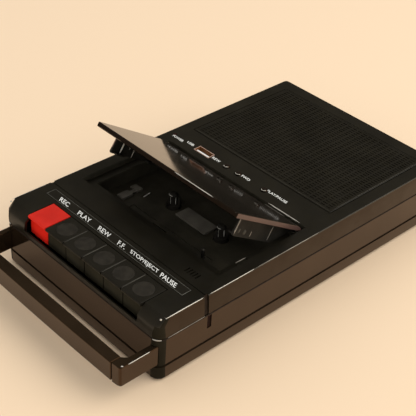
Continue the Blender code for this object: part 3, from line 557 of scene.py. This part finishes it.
# painted glints along the top outer edge and the front corner of each arm
for side_name, s in SIDES:
    bead("arm_edge_" + side_name, (s * (arm_x - 0.35), -26.2, arm_z), (s * (arm_x - 0.35), -7.5, arm_z),
         0.3, SHINE, "handle")
    bead("arm_corner_" + side_name, (s * (arm_x - 1.5), -28.0, arm_z), (s * (arm_x - 0.6), -27.0, arm_z),
         0.55, SHINE, "handle")

# ---- painted glints on the edges of the case --------------------------------
half = CASE_HIGH.x / MM
rim_x, rim_z = 67.85, DECK / MM - 0.22
for side_name, s in SIDES:
    for part, y0, y1, radius, mat in (("front", -0.4, 25.6, 0.26, SHINE), ("mid", 30.0, 64.0, 0.22, SHINE),
                                      ("rear", 64.0, 118.0, 0.18, GLINT)):
        bead("deck_edge_%s_%s" % (part, side_name), (s * rim_x, y0, rim_z), (s * rim_x, y1, rim_z), radius, mat,
             "case", steps=8)
    bead("deck_corner_" + side_name, (s * (rim_x - 1.6), -2.9, rim_z - 0.1), (s * (rim_x - 0.8), -2.2, rim_z - 0.1),
         0.55, SHINE, "case", steps=3)
CORNER_RADIUS = 5.5
SEAM_Z = 28.9                     # just under the joint between the halves of the case
for side_name, s in SIDES:
    bend = [at(s * (half - 5.9 + CORNER_RADIUS * math.sin(a)), -5.9 + 5.6 - CORNER_RADIUS * math.cos(a), SEAM_Z)
            for a in (math.radians(9.0 * k) for k in range(1, 8))]
    tube("corner_glint_" + side_name, bend, 0.32, SHINE, "case")
    bead("joint_line_" + side_name, (s * (half - 0.35), 1.0, SEAM_Z + 0.05),
         (s * (half - 0.35), 27.0, SEAM_Z + 0.05), 0.2, GLINT, "case")
# faint painted glints in the gaps between the keys
for i, key in enumerate(KEYS[1:5]):
    gap_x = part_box("key_" + key)[1].x / MM + 0.32
    bead("key_gap_glint_%d" % i, (gap_x, -2.0, 42.15), (gap_x, 14.6, 42.35), 0.3, FAINT, "case")
bead("well_rear_edge", (29.0, 113.25, 42.25), (55.0, 113.25, 42.25), 0.35, SHINE, "case")
bead("well_rear_edge_low", (27.0, 113.0, 40.5), (43.0, 113.0, 40.5), 0.2, GLINT, "case")
bead("latch_edge", (54.9, 61.9, 38.95), (54.9, 69.6, 38.95), 0.25, GLINT, "case")
bead("lever_edge", (-39.6, 75.2, 25.6), (-40.6, 81.4, 25.6), 0.38, SHINE, "case")

# painted glints: two upright streaks on the ribs and an arc near the tip of each spindle
for name in ("supply_spindle", "takeup_spindle"):
    cx, cy, top = crown(name)
    for part, turn in (("left", -78.0), ("right", -14.0)):
        a = math.radians(turn)
        foot = (cx + 3.05 * math.cos(a), cy + 3.05 * math.sin(a))
        bead(name + "_streak_" + part, (*foot, top - 7.0), (*foot, top - 1.9), 0.24, SHINE, name, steps=3)
    tube(name + "_tip", arc(cx, cy, 2.7, top - 1.2, -130.0, 15.0, 6), 0.22, SHINE, name)

# ---- small buttons ----------------------------------------------------------
for node in ("button_rewind", "button_forward", "button_play_pause"):
    cx, cy, top = crown(node)
    # a stem, a collar that stops under the deck, and a cap with a rounded top
    profile = [(1.0, top - 16.1), (1.0, top - 4.7), (2.9, top - 4.7), (2.9, top - 3.7), (2.2, top - 3.7),
               (2.2, top - 0.75), (2.1, top - 0.45), (1.8, top - 0.2), (1.3, top - 0.06), (0.6, top)]
    bm = bmesh.new()
    lathe(bm, cx, cy, profile, 32)
    make(node + "_finished", bm, DOOR_GLOSS, node, 50.0, (node,))
    # a painted glint in an arc round the front of the cap
    tube(node + "_rim", arc(cx, cy, 1.75, top - 0.22, -150.0, 20.0, 8), 0.22, SHINE, node)

# ---- loudspeaker grille -----------------------------------------------------
GRILLE_COLS, GRILLE_ROWS = 26, 36
MARGIN_X, MARGIN_Y = 2.4, 2.2     # from the edge of the grille to its field of dashes
low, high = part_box("speaker_grille")
gx0, gx1 = low.x / MM, high.x / MM
gy0, gy1 = (low.y - Y0) / MM, (high.y - Y0) / MM
gz0, gz1 = low.z / MM, high.z / MM


def grille():
    """Field of short dashes sunk in a plate, with a raised frame round it."""
    bm = bmesh.new()
    px = (gx1 - gx0 - 2 * MARGIN_X) / GRILLE_COLS
    py = (gy1 - gy0 - 2 * MARGIN_Y) / GRILLE_ROWS
    hx, hy = px * 0.36, py * 0.27
    xs = [gx0 + MARGIN_X + px * i for i in range(GRILLE_COLS + 1)]
    ys = [gy0 + MARGIN_Y + py * i for i in range(GRILLE_ROWS + 1)]
    field_z = gz1 - 0.35
    grid = [[bm.verts.new(at(x, y, field_z)) for x in xs] for y in ys]
    for r in range(GRILLE_ROWS):
        for c in range(GRILLE_COLS):
            cx = (xs[c] + xs[c + 1]) / 2.0
            cy = (ys[r] + ys[r + 1]) / 2.0
            cell = [grid[r][c], grid[r][c + 1], grid[r + 1][c + 1], grid[r + 1][c]]
            spots = ((cx - hx, cy - hy), (cx + hx, cy - hy), (cx + hx, cy + hy), (cx - hx, cy + hy))
            mouth = [bm.verts.new(at(x, y, field_z)) for x, y in spots]
            bottom = [bm.verts.new(at(x, y, field_z - 0.32)) for x, y in spots]
            for i in range(4):
                j = (i + 1) % 4
                bm.faces.new((cell[i], cell[j], mouth[j], mouth[i]))
                bm.faces.new((mouth[i], mouth[j], bottom[j], bottom[i]))
            bm.faces.new(bottom)
    edge = grid[0][:] + [grid[r][-1] for r in range(1, GRILLE_ROWS + 1)]
    edge += grid[-1][-2::-1] + [grid[r][0] for r in range(GRILLE_ROWS - 1, 0, -1)]

    def outward(value, start, end):
        """-1 or 1 on an edge of the field, 0 between them."""
        share = (value - start) / (end - start) * 2 - 1
        return share if abs(share) > 0.999 else 0.0

    def moved(v, grow, z):
        x, y = v.co.x / MM, (v.co.y - Y0) / MM
        return bm.verts.new(at(x + grow * outward(x, gx0 + MARGIN_X, gx1 - MARGIN_X),
                               y + grow * outward(y, gy0 + MARGIN_Y, gy1 - MARGIN_Y), z))

    # the raised frame, stepping outward and then down to its seat
    previous = edge
    for grow, z in ((0.9, field_z), (1.2, gz1 - 0.12), (1.7, gz1 - 0.12), (2.1, gz1 - 0.35), (2.1, gz0)):
        current = [moved(v, grow, z) for v in edge]
        for i in range(len(edge)):
            j = (i + 1) % len(edge)
            bm.faces.new((previous[i], previous[j], current[j], current[i]))
        previous = current
    bm.faces.new(previous)
    bmesh.ops.recalc_face_normals(bm, faces=bm.faces)
    make("speaker_grille_finished", bm, SATIN_DECK, "case", stands_for=("speaker_grille",))


grille()
# faint painted glints along the front and right edges of the grille frame
line_z = gz1 - 0.2
front_right = (gx1 - 1.1, gy0 + 1.1, line_z)
bead("grille_frame_front", (gx0 + 1.1, gy0 + 1.1, line_z), front_right, 0.16, FAINT,
     "case", steps=8)
bead("grille_frame_right", front_right, (gx1 - 1.1, gy1 - 1.1, line_z), 0.16, FAINT,
     "case", steps=8)

# ---- well skirt -------------------------------------------------------------
# The short wall between the deck and the ledge on which the closed door rests: three sides,
# open at the rear, where the door swings.
bm = bmesh.new()
rows = []
for inset, z in ((0.0, 38.8), (0.05, DECK / MM - 0.25), (0.22, DECK / MM - 0.3), (0.28, 38.8)):
    x, y = 59.86 - inset, 43.55 + inset
    rows.append([bm.verts.new(at(px, py, z)) for px, py in ((-x, 103.0), (-x, y), (x, y), (x, 103.0))])
for a, b in zip(rows, rows[1:] + rows[:1]):
    for i in range(3):
        bm.faces.new((a[i], a[i + 1], b[i + 1], b[i]))
for i in (0, 3):
    bm.faces.new([row[i] for row in rows])
bmesh.ops.recalc_face_normals(bm, faces=bm.faces)
# painted lighter, like the walls of the well opening, to lift its shade
make("well_skirt", bm, WALL_PAINTED_LIGHTER, "case")

# ---- print ------------------------------------------------------------------
low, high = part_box("label_strip")
strip_z = high.z / MM
strip_y0, strip_y1 = (low.y - Y0) / MM, (high.y - Y0) / MM
line_frame("strip_outline", low.x / MM + 0.1, high.x / MM - 0.1, strip_y0 + 0.1, strip_y1 - 0.1,
           0.4, strip_z - 0.02, strip_z + 0.06, PRINT_GREY, "case")
strip_y = (strip_y0 + strip_y1) / 2.0
for text, x0, x1 in (("REC", -51.5, -41.2), ("PLAY", -34.2, -22.1), ("REW", -15.3, -4.5), ("F.F.", 2.2, 10.1),
                     ("STOP/EJECT", 13.0, 36.8), ("PAUSE", 38.5, 52.8)):
    name = "print_" + text.lower().replace("/", "_").replace(".", "")
    words(name, text, x0, x1, strip_y - 2.2, strip_y + 1.15, strip_z, shear=-0.55)
for name, text, x0, x1, y in (("power", "POWER", -62.6, -52.6, 119.0), ("usb", "USB", -51.0, -44.8, 121.0),
                              ("skip_back", "REW", -27.6, -20.9, 121.0), ("skip_ahead", "FWD", -1.6, 5.6, 121.2),
                              ("play_pause", "PLAY/PAUSE", 19.6, 36.4, 122.0)):
    words("print_" + name, text, x0, x1, y - 1.05, y + 1.05, DECK / MM, shear=-0.2)

# ---- floor ------------------------------------------------------------------
FLOOR_HALF = 6.0
mesh = bpy.data.meshes.new("floor")
corners = [(sx * FLOOR_HALF, sy * FLOOR_HALF, 0) for sx, sy in ((-1, -1), (1, -1), (1, 1), (-1, 1))]
mesh.from_pydata(corners, [], [(0, 1, 2, 3)])
floor = bpy.data.objects.new("floor", mesh)
bpy.context.scene.collection.objects.link(floor)
n = Nodes("pale_floor")
n.shader.inputs["Base Color"].default_value = (0.86, 0.66, 0.46, 1.0)
n.shader.inputs["Roughness"].default_value = 0.9
mesh.materials.append(n.mat)

# ---- light ------------------------------------------------------------------
# An even world, dimmer for glossy rays so that dark plastic stays dark, and one soft lamp.
world = bpy.data.worlds.new("studio")
bpy.context.scene.world = world
world.use_nodes = True
sky = world.node_tree
even = sky.nodes["Background"]
even.inputs["Color"].default_value = (1.0, 0.99, 0.97, 1.0)
even.inputs["Strength"].default_value = 0.95
dim = sky.nodes.new("ShaderNodeBackground")
dim.inputs["Color"].default_value = (1.0, 0.86, 0.62, 1.0)
dim.inputs["Strength"].default_value = 0.13
ray = sky.nodes.new("ShaderNodeLightPath")
choose = sky.nodes.new("ShaderNodeMixShader")
sky.links.new(ray.outputs["Is Glossy Ray"], choose.inputs[0])
sky.links.new(even.outputs[0], choose.inputs[1])
sky.links.new(dim.outputs[0], choose.inputs[2])
sky.links.new(choose.outputs[0], sky.nodes["World Output"].inputs["Surface"])

LAMP_DISTANCE = 1.3
lamp = bpy.data.lights.new("key_soft", "AREA")
lamp.shape = "DISK"
lamp.size = 1.3
lamp.energy = 7.5
lamp.color = (1.0, 0.95, 0.87)
lamp_object = bpy.data.objects.new("key_soft", lamp)
towards_lamp = Vector((0.60, 0.54, 0.72)).normalized()
lamp_object.location = Vector((0.0, 0.0, 0.03)) + towards_lamp * LAMP_DISTANCE
lamp_object.rotation_mode = "QUATERNION"
lamp_object.rotation_quaternion = towards_lamp.to_track_quat("Z", "Y")
bpy.context.scene.collection.objects.link(lamp_object)

# ---- camera -----------------------------------------------------------------
# Seen from the front right and above, with the horizon slightly rolled.
AZIMUTH, ELEVATION, ROLL = (math.radians(v) for v in (45.26, 35.69, 3.41))
SCALE = 0.92                      # brings the distances below to this model's size
CAMERA_DISTANCE = 752.74 * SCALE * MM
LOOK_AT = at(-31.94 * SCALE, 132.12 * SCALE, 2.0)
back = Vector((math.sin(AZIMUTH) * math.cos(ELEVATION), -math.cos(AZIMUTH) * math.cos(ELEVATION),
               math.sin(ELEVATION)))
right = Vector((math.cos(AZIMUTH), math.sin(AZIMUTH), 0.0))
up = back.cross(right)
cam_x = math.cos(ROLL) * right + math.sin(ROLL) * up
cam_y = -math.sin(ROLL) * right + math.cos(ROLL) * up
cam_data = bpy.data.cameras.new("camera")
cam_data.sensor_width = 36.0
cam_data.lens = 92.36
cam_data.clip_start = 0.01
cam_data.clip_end = 50.0
camera = bpy.data.objects.new("camera", cam_data)
bpy.context.scene.collection.objects.link(camera)
turn = Matrix((cam_x, cam_y, back)).transposed().to_4x4()
camera.matrix_world = Matrix.Translation(LOOK_AT + back * CAMERA_DISTANCE) @ turn
bpy.context.scene.camera = camera
bpy.context.scene.view_settings.view_transform = "Standard"

bpy.context.view_layer.update()
